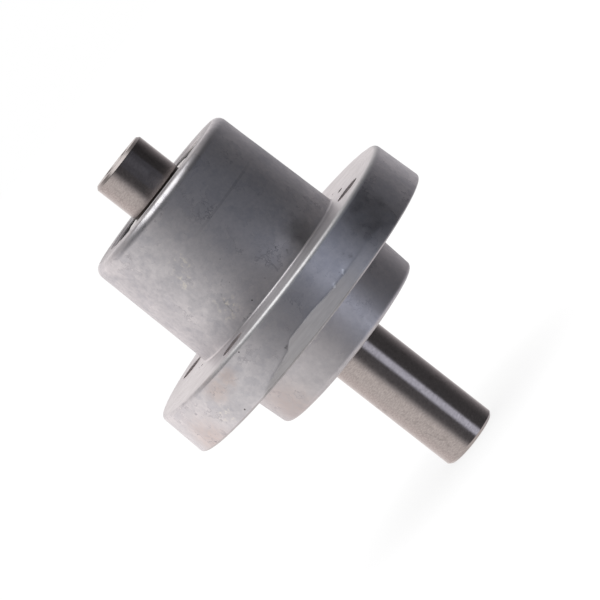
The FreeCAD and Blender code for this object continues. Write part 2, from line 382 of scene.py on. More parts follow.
def cast_aluminium():
    """Die cast aluminium: a satin skin clouded by the mould's dressing, with water marks, stains and pits."""
    material, tree, place = new_material("cast_aluminium")
    apart, out = from_axis(tree, place)
    cloud = add(tree, "ShaderNodeTexNoise", {
        "Vector": place, "Scale": 1 / (13 * MM), "Detail": 5, "Roughness": 0.6, "Distortion": 0.6,
    }).outputs["Fac"]
    mottle = add(tree, "ShaderNodeTexNoise", {
        "Vector": place, "Scale": 1 / (1.8 * MM), "Detail": 4, "Roughness": 0.65}).outputs["Fac"]
    grain = add(tree, "ShaderNodeTexNoise", {
        "Vector": place, "Scale": 1 / (0.6 * MM), "Detail": 2}).outputs["Fac"]
    drift = add(tree, "ShaderNodeTexNoise", {
        "Vector": place, "Scale": 1 / (4 * MM), "Detail": 4}).outputs["Color"]
    ragged = add(tree, "ShaderNodeVectorMath", {0: drift, 1: (wander,) * 3, 2: place},
                 operation="MULTIPLY_ADD").outputs[0]
    tone = add(tree, "ShaderNodeMath", {0: mottle, 1: 0.75, 2: cloud}, operation="MULTIPLY_ADD").outputs[0]
    tone_low, tone_high = 0.62, 1.12
    shade = add(tree, "ShaderNodeMapRange", {
        "Value": tone, "From Min": tone_low, "From Max": tone_high}).outputs[0]
    skin = add(tree, "ShaderNodeMix", {"Factor": shade, UNDER: colour("#CCCACD"), OVER: colour("#E4E0E1")},
               data_type="RGBA").outputs[MIXED]

    # Duller patches where the mould's dressing stuck
    dressing = add(tree, "ShaderNodeTexNoise", {
        "Vector": place, "Scale": 1 / (7 * MM), "Detail": 6, "Roughness": 0.7}).outputs["Fac"]
    dull = add(tree, "ShaderNodeMapRange", {
        "Value": dressing, "From Min": 0.5, "From Max": 0.6, "To Max": 0.3,
    }, interpolation_type="SMOOTHSTEP").outputs[0]

    # Brown stains with ragged edges, and the edge of a dried drop
    stain = blots(tree, ragged, skin_spots(brown_patches, wander), stain_core)
    brown = add(tree, "ShaderNodeMath", {0: stain, 1: mottle}, operation="MULTIPLY").outputs[0]
    angle, height, size = drop_mark
    away = add(tree, "ShaderNodeVectorMath", {0: place, 1: on_skin(angle, height * MM)},
               operation="DISTANCE").outputs["Value"]
    ring = add(tree, "ShaderNodeMath", {0: away, 1: size * MM, 2: 0.3 * MM}, operation="COMPARE").outputs[0]
    dried = add(tree, "ShaderNodeMath", {0: ring, 1: dull}, operation="MULTIPLY").outputs[0]

    # A duller film from the rim's lower edge down
    film = add(tree, "ShaderNodeMapRange", {
        "Value": apart["Z"], "From Min": flange_bottom + 1.0 * MM, "From Max": flange_bottom + 0.4 * MM,
        "To Max": 0.4,
    }).outputs[0]

    # Thin tide marks left by drying water, and smoky stains
    shore = add(tree, "ShaderNodeMath", {0: dressing, 1: 0.53, 2: 0.018}, operation="COMPARE").outputs[0]
    wetted = add(tree, "ShaderNodeMapRange", {
        "Value": cloud, "From Min": 0.5, "From Max": 0.66, "To Max": 0.5}).outputs[0]
    tide = add(tree, "ShaderNodeMath", {0: shore, 1: wetted}, operation="MULTIPLY").outputs[0]
    smoky = blots(tree, ragged, skin_spots(smoky_patches, wander), stain_core)
    smoke = add(tree, "ShaderNodeMath", {0: smoky, 1: cloud}, operation="MULTIPLY").outputs[0]

    # Faint line where two parts of the mould met
    level = add(tree, "ShaderNodeMath", {0: apart["Z"], 1: mould_line, 2: 0.5 * MM},
                operation="COMPARE").outputs[0]
    side = blots(tree, place, [(on_skin(mould_line_angle, mould_line), mould_line_reach)], core=0.3)
    lined = add(tree, "ShaderNodeMath", {0: level, 1: side}, operation="MULTIPLY").outputs[0]
    seam = add(tree, "ShaderNodeMath", {0: lined, 1: 0.2}, operation="MULTIPLY").outputs[0]

    # Pale scuffs
    flecks = add(tree, "ShaderNodeMapRange", {"Value": mottle, "From Min": 0.52, "From Max": 0.64}).outputs[0]
    scuffed = blots(tree, ragged, skin_spots(scuffs, wander), stain_core)
    rubbed = add(tree, "ShaderNodeMath", {0: scuffed, 1: flecks}, operation="MULTIPLY").outputs[0]

    # Pits, specks and smudges, and painted shade in the hollows of the pores in the flange's face
    cell = add(tree, "ShaderNodeTexVoronoi", {"Vector": place, "Scale": 1 / (4.5 * MM)}).outputs
    chosen = add(tree, "ShaderNodeSeparateColor", {"Color": cell["Color"]}).outputs["Red"]
    width = add(tree, "ShaderNodeMapRange", {
        "Value": chosen, "From Min": 0.6, "From Max": 1.0, "To Min": 0.0, "To Max": 0.08}).outputs[0]
    pit = add(tree, "ShaderNodeMapRange", {
        "Value": cell["Distance"], "From Min": width, "From Max": 0.0, "To Max": 0.6}).outputs[0]
    speck = blots(tree, place, skin_spots(dark_specks), core=0.35)
    dirt = add(tree, "ShaderNodeMath", {0: pit, 1: speck}, operation="MAXIMUM").outputs[0]
    smudged = blots(tree, ragged, skin_spots(smudges, wander), core=0.1)
    smudge = add(tree, "ShaderNodeMath", {0: smudged, 1: 0.6}, operation="MULTIPLY").outputs[0]
    dirty = add(tree, "ShaderNodeMath", {0: dirt, 1: smudge}, operation="MAXIMUM").outputs[0]
    pore_shade_spots = [(Vector((x, y, 0)) * MM, 2 * size * MM) for x, y, size in pores]
    pore_painted_shade = blots(tree, place, pore_shade_spots, core=0.9)

    # The trimmed land is matt and has no skin
    edge = add(tree, "ShaderNodeAttribute", attribute_name="inside_gate").outputs["Fac"]
    inside = add(tree, "ShaderNodeMapRange", {
        "Value": edge, "From Min": -0.2 * MM, "From Max": 0.2 * MM}).outputs[0]
    fade = add(tree, "ShaderNodeMapRange", {
        "Value": apart["X"], "From Min": 32 * MM, "From Max": 10 * MM, "To Min": 0.1, "To Max": 0.9,
    }, interpolation_type="SMOOTHSTEP").outputs[0]
    land = add(tree, "ShaderNodeMath", {0: inside, 1: fade}, operation="MULTIPLY").outputs[0]
    drawn_out = add(tree, "ShaderNodeMapping", {"Vector": place, "Scale": (0.12, 0.12, 1.0)}).outputs[0]
    streaks = add(tree, "ShaderNodeTexNoise", {
        "Vector": drawn_out, "Scale": 1 / (0.9 * MM), "Detail": 3}).outputs["Fac"]
    bared = add(tree, "ShaderNodeMix", {
        "Factor": streaks, UNDER: colour("#D2CFCE"), OVER: colour("#ECEAE9"),
    }, data_type="RGBA").outputs[MIXED]

    # Fresh metal in the nicks
    dots = []
    for angle, height in nicks:
        turn = math.radians(angle)
        along = Vector((-math.sin(turn) * nick_lean.x, math.cos(turn) * nick_lean.x, nick_lean.y))
        for share in nick_dots:
            dots.append((on_skin(angle, height * MM) + along * nick_length * share, nick_dot_size))
    fresh = blots(tree, place, dots, core=0.4)

    # Small knocks along the rim's upper edge, worn bright on one side; the bright edge is wear and a painted
    # highlight
    rim = add(tree, "ShaderNodeMath", {0: out, 1: rim_outside}, operation="GREATER_THAN").outputs[0]
    upper = add(tree, "ShaderNodeMapRange", {
        "Value": apart["Z"], "From Min": -2.0 * MM, "From Max": -1.2 * MM}).outputs[0]
    knocks = add(tree, "ShaderNodeTexNoise", {
        "Vector": place, "Scale": 1 / (0.9 * MM), "Detail": 2}).outputs["Fac"]
    knocked = add(tree, "ShaderNodeMath", {0: rim, 1: upper}, operation="MULTIPLY").outputs[0]
    painted_highlight_side = add(tree, "ShaderNodeMapRange", {
        "Value": apart["X"], "From Min": -50 * MM, "From Max": -25 * MM, "To Max": 0.7}).outputs[0]
    worn = add(tree, "ShaderNodeMath", {0: knocked, 1: painted_highlight_side}, operation="MULTIPLY").outputs[0]

    # A darker line painted along the rim's lower edge: painted shade
    lower = add(tree, "ShaderNodeMath", {0: apart["Z"], 1: flange_bottom + 0.5 * MM, 2: 0.45 * MM},
                operation="COMPARE").outputs[0]
    lower_edge_band = add(tree, "ShaderNodeMath", {0: rim, 1: lower}, operation="MULTIPLY").outputs[0]
    lower_edge_painted_shade = add(tree, "ShaderNodeMath", {0: lower_edge_band, 1: mottle}, operation="MULTIPLY").outputs[0]

    # All of these lie over the skin, the later ones on top
    marks = [(dull, colour("#B9B9C0")), (brown, colour("#D0BFB7")), (dried, colour("#77757A")),
             (film, colour("#B0ABAB")), (tide, colour("#8F8D94")), (smoke, colour("#6C6A6B")),
             (seam, colour("#77757A")), (rubbed, colour("#F0EBE2")), (dirty, colour("#4F4B4B")),
             # The pores' near black is painted shade in their hollows
             (pore_painted_shade, colour("#2B2726")), (land, bared), (fresh, colour("#F8F7F7")),
             # The line along the rim's lower edge is painted shade
             # The rim's upper edge is lightened by wear and a painted highlight
             (worn, colour("#F4F3F2")), (lower_edge_painted_shade, colour("#B2AEAD"))]
    for mask, tint in marks:
        skin = add(tree, "ShaderNodeMix", {"Factor": mask, UNDER: skin, OVER: tint},
                   data_type="RGBA").outputs[MIXED]

    # Roughness and fine relief
    satin = add(tree, "ShaderNodeMapRange", {
        "Value": tone, "From Min": tone_low, "From Max": tone_high, "To Min": 0.54, "To Max": 0.44,
    }).outputs[0]
    on_rim = add(tree, "ShaderNodeMapRange", {
        "Value": out, "From Min": rim_inside, "From Max": rim_outside, "To Min": film, "To Max": 1.0,
    }).outputs[0]
    on_top = add(tree, "ShaderNodeMapRange", {
        "Value": apart["Z"], "From Min": tower_top - 4 * MM, "From Max": tower_top - 2 * MM}).outputs[0]
    sleek = add(tree, "ShaderNodeMath", {0: on_rim, 1: on_top}, operation="MAXIMUM").outputs[0]
    smoother = add(tree, "ShaderNodeMath", {0: sleek, 1: -0.12, 2: satin},
                   operation="MULTIPLY_ADD").outputs[0]
    scoured = add(tree, "ShaderNodeMix", {"Factor": worn, LESS: smoother, MORE: 0.56}).outputs[0]
    roughness = add(tree, "ShaderNodeMix", {"Factor": land, LESS: scoured, MORE: 0.85}).outputs[0]
    relief = add(tree, "ShaderNodeMath", {0: dirt, 1: -3.0, 2: grain}, operation="MULTIPLY_ADD").outputs[0]
    skin_bump = add(tree, "ShaderNodeBump", {
        "Height": relief, "Strength": 0.6, "Distance": 0.006 * MM}).outputs[0]
    bump = add(tree, "ShaderNodeBump", {
        "Height": knocks, "Strength": knocked, "Distance": 0.08 * MM, "Normal": skin_bump}).outputs[0]
    return finished(material, {"Metallic": 1.0, "Base Color": skin, "Roughness": roughness, "Normal": bump})


def turned_aluminium():
    """Aluminium cut on a lathe: bright, with rings that draw reflections out, and a dull film in places."""
    material, tree, place = new_material("turned_aluminium")
    apart, out = from_axis(tree, place)

    # The tool's rings are finer than this on the real face, and are drawn coarse enough to show
    rings = lathe_rings(tree, out, apart["Z"], 0.8 * MM)
    film = add(tree, "ShaderNodeTexNoise", {
        "Vector": place, "Scale": 1 / (7 * MM), "Detail": 4}).outputs["Fac"]
    tone = add(tree, "ShaderNodeMath", {0: rings, 1: 0.9, 2: film}, operation="MULTIPLY_ADD").outputs[0]
    shade = add(tree, "ShaderNodeMapRange", {"Value": tone, "From Min": 0.6, "From Max": 1.3}).outputs[0]
    face = add(tree, "ShaderNodeMix", {"Factor": shade, UNDER: colour("#D4D0D1"), OVER: colour("#F2EFF0")},
               data_type="RGBA").outputs[MIXED]
    satin = add(tree, "ShaderNodeMapRange", {
        "Value": rings, "From Min": 0.3, "From Max": 0.7, "To Min": 0.38, "To Max": 0.5}).outputs[0]

    # The tower's top is rubbed dull
    rubbed = add(tree, "ShaderNodeMapRange", {
        "Value": apart["Z"], "From Min": tower_top - 1.0 * MM, "From Max": tower_top - 0.1 * MM,
        "To Max": 0.25,
    }).outputs[0]
    roughness = add(tree, "ShaderNodeMath", {0: satin, 1: rubbed}, operation="ADD").outputs[0]
    bump = add(tree, "ShaderNodeBump", {"Height": rings, "Strength": 0.6, "Distance": 0.006 * MM}).outputs[0]
    return finished(material, {"Metallic": 1.0, "Base Color": face, "Roughness": roughness, "Normal": bump,
                               **drawn_out_by_rings(tree)})


def drilled_aluminium():
    """Aluminium torn by a drill: pale and matt, with rough rings down the hole."""
    material, tree, place = new_material("drilled_aluminium")
    drawn_out = add(tree, "ShaderNodeMapping", {"Vector": place, "Scale": (0.2, 0.2, 1.0)}).outputs[0]

    # The drill's rings are finer than this, and are drawn coarse enough to show
    rings = add(tree, "ShaderNodeTexNoise", {
        "Vector": drawn_out, "Scale": 1 / (0.5 * MM), "Detail": 3}).outputs["Fac"]
    wall = add(tree, "ShaderNodeMix", {"Factor": rings, UNDER: colour("#CFC9C8"), OVER: colour("#F0EBEA")},
               data_type="RGBA").outputs[MIXED]
    bump = add(tree, "ShaderNodeBump", {"Height": rings, "Strength": 0.6, "Distance": 0.02 * MM}).outputs[0]
    return finished(material, {"Metallic": 1.0, "Base Color": wall, "Roughness": 0.75, "Normal": bump})


def ground_steel():
    """Ground steel bar: reflections drawn out along it, a sparkle of short scratches, some fretting."""
    material, tree, place = new_material("ground_steel")
    stretched = add(tree, "ShaderNodeMapping", {"Vector": place, "Scale": (0.4, 0.4, 1.0)}).outputs[0]

    # Grinding scratches are finer than this, and are drawn coarse enough to sparkle
    scratch = add(tree, "ShaderNodeTexNoise", {
        "Vector": stretched, "Scale": 1 / (0.45 * MM), "Detail": 2}).outputs["Fac"]
    wear = add(tree, "ShaderNodeTexNoise", {
        "Vector": place, "Scale": 1 / (2.2 * MM), "Detail": 4}).outputs["Fac"]
    cloud = add(tree, "ShaderNodeTexNoise", {
        "Vector": place, "Scale": 1 / (12 * MM), "Detail": 2}).outputs["Fac"]
    shade = add(tree, "ShaderNodeMapRange", {"Value": scratch, "From Min": 0.3, "From Max": 0.7}).outputs[0]
    metal = add(tree, "ShaderNodeMix", {"Factor": shade, UNDER: colour("#A49B98"), OVER: colour("#B9B0AC")},
                data_type="RGBA").outputs[MIXED]
    worn = add(tree, "ShaderNodeMath", {0: wear, 1: cloud}, operation="MULTIPLY").outputs[0]
    fret = add(tree, "ShaderNodeMapRange", {
        "Value": worn, "From Min": 0.33, "From Max": 0.42, "To Max": 0.28}).outputs[0]
    bar = add(tree, "ShaderNodeMix", {"Factor": fret, UNDER: metal, OVER: colour("#6F6865")},
              data_type="RGBA").outputs[MIXED]
    roughness = add(tree, "ShaderNodeMapRange", {
        "Value": wear, "From Min": 0.3, "From Max": 0.7, "To Min": 0.14, "To Max": 0.2}).outputs[0]
    bump = add(tree, "ShaderNodeBump", {
        "Height": scratch, "Strength": 0.6, "Distance": 0.003 * MM}).outputs[0]
    return finished(material, {"Metallic": 1.0, "Base Color": bar, "Roughness": roughness, "Normal": bump,
                               **drawn_out_by_rings(tree)})


def cut_steel():
    """Steel as the lathe and the tap left it: rings of tool marks, old oil in the holes and the undercut."""
    material, tree, place = new_material("cut_steel")
    apart, out = from_axis(tree, place)

    # The tool's rings are finer than this, and are drawn coarse enough to show
    rings = lathe_rings(tree, out, apart["Z"], 0.5 * MM)
    metal = add(tree, "ShaderNodeMix", {"Factor": rings, UNDER: colour("#9A928F"), OVER: colour("#C0B8B4")},
                data_type="RGBA").outputs[MIXED]
    oil = add(tree, "ShaderNodeMapRange", {
        "Value": out, "From Min": tap_drill + 0.9 * MM, "From Max": tap_drill + 0.2 * MM, "To Max": 0.7,
    }).outputs[0]
    foot = add(tree, "ShaderNodeMath", {0: apart["Z"], 1: upper_bearing_face, 2: 2 * undercut_width},
               operation="COMPARE").outputs[0]
    oiled = add(tree, "ShaderNodeMath", {0: oil, 1: foot}, operation="MAXIMUM").outputs[0]
    face = add(tree, "ShaderNodeMix", {"Factor": oiled, UNDER: metal, OVER: colour("#4C4541")},
               data_type="RGBA").outputs[MIXED]
    roughness = add(tree, "ShaderNodeMapRange", {
        "Value": rings, "From Min": 0.3, "From Max": 0.7, "To Min": 0.25, "To Max": 0.38}).outputs[0]
    bump = add(tree, "ShaderNodeBump", {"Height": rings, "Strength": 0.6, "Distance": 0.008 * MM}).outputs[0]
    return finished(material, {"Metallic": 1.0, "Base Color": face, "Roughness": roughness, "Normal": bump})


def bearing_steel():
    """Honed bearing steel: near mirror, with fine rings and a thin smear of grease."""
    material, tree, place = new_material("bearing_steel")
    stretched = add(tree, "ShaderNodeMapping", {"Vector": place, "Scale": (0.3, 0.3, 1.0)}).outputs[0]

    # The hone's rings are finer than this, and are drawn coarse enough to show
    hone = add(tree, "ShaderNodeTexNoise", {
        "Vector": stretched, "Scale": 1 / (0.6 * MM), "Detail": 2}).outputs["Fac"]
    grease = add(tree, "ShaderNodeTexNoise", {
        "Vector": place, "Scale": 1 / (5 * MM), "Detail": 3}).outputs["Fac"]
    smear = add(tree, "ShaderNodeMapRange", {"Value": grease, "From Min": 0.45, "From Max": 0.65}).outputs[0]
    ring = add(tree, "ShaderNodeMix", {"Factor": smear, UNDER: colour("#C4C2C1"), OVER: colour("#ADA79F")},
               data_type="RGBA").outputs[MIXED]
    roughness = add(tree, "ShaderNodeMapRange", {
        "Value": grease, "From Min": 0.4, "From Max": 0.65, "To Min": 0.12, "To Max": 0.28}).outputs[0]
    bump = add(tree, "ShaderNodeBump", {"Height": hone, "Strength": 0.4, "Distance": 0.003 * MM}).outputs[0]
    return finished(material, {"Metallic": 1.0, "Base Color": ring, "Roughness": roughness, "Normal": bump})


def bare_steel():
    """Pressed and drawn bare steel: grey, faintly streaked, with the odd darker cloud of oil."""
    material, tree, place = new_material("bare_steel")
    streak = add(tree, "ShaderNodeTexNoise", {
        "Vector": place, "Scale": 1 / (0.9 * MM), "Detail": 3}).outputs["Fac"]
    cloud = add(tree, "ShaderNodeTexNoise", {
        "Vector": place, "Scale": 1 / (6 * MM), "Detail": 3}).outputs["Fac"]
    shade = add(tree, "ShaderNodeMapRange", {"Value": cloud, "From Min": 0.35, "From Max": 0.65}).outputs[0]
    steel = add(tree, "ShaderNodeMix", {"Factor": shade, UNDER: colour("#827F7B"), OVER: colour("#A6A39F")},
                data_type="RGBA").outputs[MIXED]
    roughness = add(tree, "ShaderNodeMapRange", {
        "Value": streak, "From Min": 0.3, "From Max": 0.7, "To Min": 0.26, "To Max": 0.42}).outputs[0]
    bump = add(tree, "ShaderNodeBump", {"Height": streak, "Strength": 0.5, "Distance": 0.006 * MM}).outputs[0]
    return finished(material, {"Metallic": 1.0, "Base Color": steel, "Roughness": roughness, "Normal": bump})


def phosphated_steel():
    """Phosphated spring steel: a dark grey crystal coat, oiled, that sparkles a little."""
    material, tree, place = new_material("phosphated_steel")

    # The crystals are finer than this, and are drawn coarse enough to sparkle
    crystal = add(tree, "ShaderNodeTexVoronoi", {"Vector": place, "Scale": 1 / (0.5 * MM)}).outputs
    tint = add(tree, "ShaderNodeSeparateColor", {"Color": crystal["Color"]}).outputs["Red"]
    coat = add(tree, "ShaderNodeMix", {"Factor": tint, UNDER: colour("#29292B"), OVER: colour("#414143")},
               data_type="RGBA").outputs[MIXED]
    roughness = add(tree, "ShaderNodeMapRange", {"Value": tint, "To Min": 0.38, "To Max": 0.6}).outputs[0]
    bump = add(tree, "ShaderNodeBump", {
        "Height": crystal["Distance"], "Strength": 0.5, "Distance": 0.012 * MM}).outputs[0]
    return finished(material, {"Base Color": coat, "Roughness": roughness, "Normal": bump})


def seal_rubber():
    """Moulded nitrile rubber: black, with the mould's fine rings and a little pale dust."""
    material, tree, place = new_material("seal_rubber")
    out = from_axis(tree, place)[1]

    # The mould's rings are finer than this, and are drawn coarse enough to show
    rings = add(tree, "ShaderNodeTexNoise", {"W": out, "Scale": 1 / (0.6 * MM), "Detail": 2},
                noise_dimensions="1D").outputs["Fac"]
    dust = add(tree, "ShaderNodeTexNoise", {
        "Vector": place, "Scale": 1 / (1.2 * MM), "Detail": 4}).outputs["Fac"]
    pale = add(tree, "ShaderNodeMapRange", {
        "Value": dust, "From Min": 0.52, "From Max": 0.75, "To Max": 0.35}).outputs[0]
    rubber = add(tree, "ShaderNodeMix", {"Factor": pale, UNDER: colour("#1E1E20"), OVER: colour("#5C5853")},
                 data_type="RGBA").outputs[MIXED]
    roughness = add(tree, "ShaderNodeMapRange", {
        "Value": dust, "From Min": 0.4, "From Max": 0.7, "To Min": 0.16, "To Max": 0.3}).outputs[0]
    bump = add(tree, "ShaderNodeBump", {"Height": rings, "Strength": 0.4, "Distance": 0.003 * MM}).outputs[0]
    return finished(material, {"Base Color": rubber, "Roughness": roughness, "Normal": bump})


# Housing

def inside_gate(across, height):
    """How far a point of the rim lies inside the gate's outline; negative outside."""
    nearest = far_away
    inside = False
    for (ax, ay), (bx, by) in zip(gate_outline, gate_outline[1:] + gate_outline[:1]):
        ax, ay, bx, by = ax * MM, ay * MM, bx * MM, by * MM
        share = ((across - ax) * (bx - ax) + (height - ay) * (by - ay)) / ((bx - ax) ** 2 + (by - ay) ** 2)
        share = min(1.0, max(0.0, share))
        nearest = min(nearest, math.hypot(across - ax - share * (bx - ax), height - ay - share * (by - ay)))
        if (ay > height) != (by > height) and across < (bx - ax) * (height - ay) / (by - ay) + ax:
            inside = not inside
    return nearest if inside else -nearest


def gate_depth(point):
    """How far a point lies inside the gate's outline, if it is on that side of the rim."""
    turn = math.atan2(point.y, point.x) - math.radians(gate_angle)
    turn = math.atan2(math.sin(turn), math.cos(turn))
    out = math.hypot(point.x, point.y)
    on_rim = out >= rim_top_radius - rim_top_rounding and point.z >= flange_bottom - gate_slack
    if abs(turn) > gate_sector or not on_rim:
        return -far_away
    return inside_gate(out * math.sin(turn), point.z)


def casting_rows():
    """Outline of the housing, from the bore's upper mouth down the outside and up the bore."""
    mouth = bore + bore_mouth
    groove_end = lower_bearing_face - ring_groove_width
    return profile([
        (mouth, tower_top, 0, TURNED, 1.5 * MM),
        (tower_top_radius, tower_top, tower_rounding, CAST, 1.3 * MM),
        (tower_base_radius, 0, tower_fillet, TURNED, 2.5 * MM),
        (rim_top_radius, 0, rim_top_rounding, CAST, 0.55 * MM),
        (rim_bottom_radius, flange_bottom, rim_bottom_rounding, CAST, 2.5 * MM),
        (hub_root_radius, flange_bottom, hub_fillet, CAST, 1.1 * MM),
        (hub_end_radius, hub_end, hub_rounding, CAST, 1.5 * MM),
        (mouth, hub_end, 0, TURNED, 0),
        (bore, hub_end + bore_mouth, 0, TURNED, 0),
        (bore, groove_end, 0, TURNED, 0),
        (ring_groove, groove_end, 0, TURNED, 0),
        (ring_groove, lower_bearing_face, 0, TURNED, 0),
        (bore, lower_bearing_face, 0, TURNED, 0),
        (bore, lower_shoulder, 0, TURNED, 0),
        (bore_relief, lower_shoulder, 0, TURNED, 0),
        (bore_relief, upper_shoulder, 0, TURNED, 0),
        (bore, upper_shoulder, 0, TURNED, 0),
        (bore, tower_top - bore_mouth, 0, TURNED, 0),
    ], True)


def casting_angles():
    """Angles of the casting's columns, closer together where the nicks are."""
    low, high = nick_sector
    angles = []
    angle = high
    while angle < low + 360 - casting_step / 2:
        angles.append(math.radians(angle))
        angle += casting_step
    steps = round((high - low) / nick_step)
    angles += [math.radians(low + nick_step * step) for step in range(steps)]
    return angles


def casting_relief(point, facing_out):
    """Height of the waves, nicks and gate land of the cast skin at a point."""
    height = sum(depth * (noise.noise(point / size) - 0.5) for size, depth in skin_waves)
    if not facing_out:
        return height
    for angle, level in nicks:
        turn = math.radians(angle)
        away = point - on_skin(angle, level * MM)
        offset = Vector((away.y * math.cos(turn) - away.x * math.sin(turn), away.z))
        along = offset.dot(nick_lean) / (nick_length / 2)
        across = offset.cross(nick_lean) / (nick_width / 2)
        height -= nick_depth * math.exp(-along ** 4 - across ** 2)
    return height + gate_proud * smooth(-gate_edge / 2, gate_edge / 2, gate_depth(point))


def cutters(skins):
    """One mesh of the drills of the bolt holes and of the pores in the flange's face."""
    mesh = bmesh.new()
    for number in range(bolts):
        angle = math.radians(first_bolt_angle + 360 / bolts * number)
        centre = Vector((bolt_circle * math.cos(angle), bolt_circle * math.sin(angle), flange_bottom / 2))
        bmesh.ops.create_cone(mesh, cap_ends=True, segments=drill_segments, radius1=bolt_hole,
                              radius2=bolt_hole, depth=-flange_bottom + 2 * drill_overrun,
                              matrix=Matrix.Translation(centre))
    for face in mesh.faces:
        face.material_index = DRILLED
    for x, y, size in pores:
        place = Matrix.Translation((x * MM, y * MM, 0)) @ Matrix.Diagonal(pore_stretch)
        bmesh.ops.create_uvsphere(mesh, u_segments=pore_segments, v_segments=pore_rings, radius=size * MM,
                                  matrix=place)
    for face in mesh.faces:
        face.smooth = True
    piece = piece_of("cutters", mesh)
    for skin in skins:
        piece.data.materials.append(skin)
    return piece


def housing_casting():
    """The housing with its cast skin, gate land, bolt holes and pores."""
    rows = casting_rows()
    count = len(rows)
    normals = []
    for index in range(count):
        run = rows[(index + 1) % count][0] - rows[index - 1][0]
        normals.append(Vector((-run.y, run.x)).normalized())

    def reshape(index, angle, radius, height):
        if rows[index][1] != CAST or rows[index - 1][1] != CAST:
            return radius, height
        out = normals[index]
        point = Vector((radius * math.cos(angle), radius * math.sin(angle), height))
        push = casting_relief(point, out.x > outward)
        return radius + push * out.x, height + push * out.y

    piece = turned_mesh("housing_casting", rows, casting_angles(), True, reshape)
    skins = [cast_aluminium(), turned_aluminium(), drilled_aluminium()]
    for skin in skins:
        piece.data.materials.append(skin)
    cutter = cutters(skins)
    cut = piece.modifiers.new("holes", "BOOLEAN")
    cut.operation = "DIFFERENCE"
    cut.object = cutter
    cut.solver = "EXACT"
    drilled = bpy.data.meshes.new_from_object(piece.evaluated_get(bpy.context.evaluated_depsgraph_get()))
    piece.modifiers.clear()
    piece.data = drilled
    bpy.data.objects.remove(cutter)
    edge = drilled.attributes.new("inside_gate", "FLOAT", "POINT")
    for vertex, value in zip(drilled.vertices, edge.data):
        value.value = gate_depth(vertex.co)
    drilled.set_sharp_from_angle(angle=sharp_edge)
    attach(piece, "housing")
    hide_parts("housing")


# Shaft

def tapped_hole(mouth, direction):
    """Corners of a tapped end hole, from its drill point to the end face."""
    point = tap_drill / math.tan(math.radians(drill_point_angle / 2))
    bottom = mouth - direction * hole_depth
    return [
        (0, bottom - direction * point, 0, CUT, 0),
        (tap_drill, bottom, 0, CUT, thread_pitch / thread_steps),
        (tap_drill, mouth - direction * hole_countersink, 0, CUT, 0),
        (tap_drill + hole_countersink, mouth, 0, CUT, 0),
    ]


def shaft_bar():
    """The ground bar with its ring groove, undercut, chamfered ends and tapped holes."""
    groove = shaft_radius - shaft_groove_depth
    groove_end = lower_bearing_face - shaft_groove_width
    undercut = shaft_radius - undercut_depth
    undercut_top = upper_bearing_face + undercut_width
    lower = tapped_hole(shaft_end, -1)
    upper = tapped_hole(shaft_top, 1)
    upper = [(*upper[i][:4], upper[i - 1][4]) for i in (3, 2, 1, 0)]
    outside = [
        (shaft_radius - shaft_chamfer, shaft_end, shaft_edge, CUT, 0),
        (shaft_radius, shaft_end + shaft_chamfer, shaft_edge, GROUND, 2 * MM),
        (shaft_radius, groove_end, 0, CUT, 0),
        (groove, groove_end, 0, CUT, 0),
        (groove, lower_bearing_face, 0, CUT, 0),
        (shaft_radius, lower_bearing_face, 0, GROUND, 0),
        (shaft_radius, upper_bearing_face, 0, CUT, 0),
        (undercut, upper_bearing_face, 0, CUT, 0),
        (undercut, undercut_top, 0, CUT, 0),
        (shaft_radius, undercut_top, 0, GROUND, 2 * MM),
        (shaft_radius, shaft_top - shaft_chamfer, shaft_edge, CUT, 0),
        (shaft_radius - shaft_chamfer, shaft_top, shaft_edge, CUT, 0),
    ]

    def reshape(index, angle, radius, height):
        if abs(radius - tap_drill) > same_size:
            return radius, height
        into = min(shaft_top - height, height - shaft_end) - hole_countersink
        turn = (height / thread_pitch - angle / (2 * math.pi)) % 1.0
        cut = smooth(0, thread_pitch, into) * smooth(0, 2 * thread_pitch, thread_length - into)
        return radius + thread_depth * cut * (1 - abs(2 * turn - 1)), height

    angles = [math.radians(shaft_step * step) for step in range(round(360 / shaft_step))]
    piece = turned_mesh("shaft_bar", profile(lower + outside + upper, False), angles, False, reshape)
    piece.data.materials.append(ground_steel())
    piece.data.materials.append(cut_steel())
    piece.data.set_sharp_from_angle(angle=sharp_edge)
    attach(piece, "shaft")
    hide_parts("spindle_shaft")


housing_casting()
shaft_bar()

# Bearings, spacer and retaining rings keep their meshes and get their finishes
finishes = {
    "plain_steel": bare_steel(),
    "bearing_steel": bearing_steel(),
    "spring_steel": phosphated_steel(),
    "seal_rubber": seal_rubber(),
}
for subpart in frame["record"]["subparts"]:
    if subpart["material_slot"] in finishes:
        for place in frame["nodes"][subpart["node"]].material_slots:
            place.material = finishes[subpart["material_slot"]]

# Camera, where the photograph was taken from
camera_place = Vector((1.54, -1294.77, 117.37)) * MM
camera_right = Vector((0.61566, -0.07949, -0.78399))
camera_up = Vector((0.78801, 0.06211, 0.61252))
camera_back = camera_right.cross(camera_up)
lens = bpy.data.cameras.new("photograph")
lens.sensor_width = 36.0
lens.lens = 209.50
lens.clip_start = 0.05
lens.clip_end = 50.0
camera_turn = Matrix((camera_right, camera_up, camera_back)).transposed().to_4x4()
camera = new_piece("photograph", lens)
camera.matrix_world = Matrix.Translation(camera_place) @ camera_turn
bpy.context.scene.camera = camera
bpy.context.scene.view_settings.view_transform = "Standard"


# Studio

# Floor and room: sizes in metres, the room's step and top in degrees, and levels where white is 1
floor_half = 12.0
floor_gap = 0.2 * MM
floor_grey = 0.22
floor_glow = 0.8
room_distance = 3.0
room_step = 2
room_top = 88
side_wall = 0.92
back_wall_more = 0.1
dim_wall = 0.092
dim_wall_right_less = 0.044
dim_wall_low_more = 0.04
table_level = 0.8
ceiling_level = 0.25

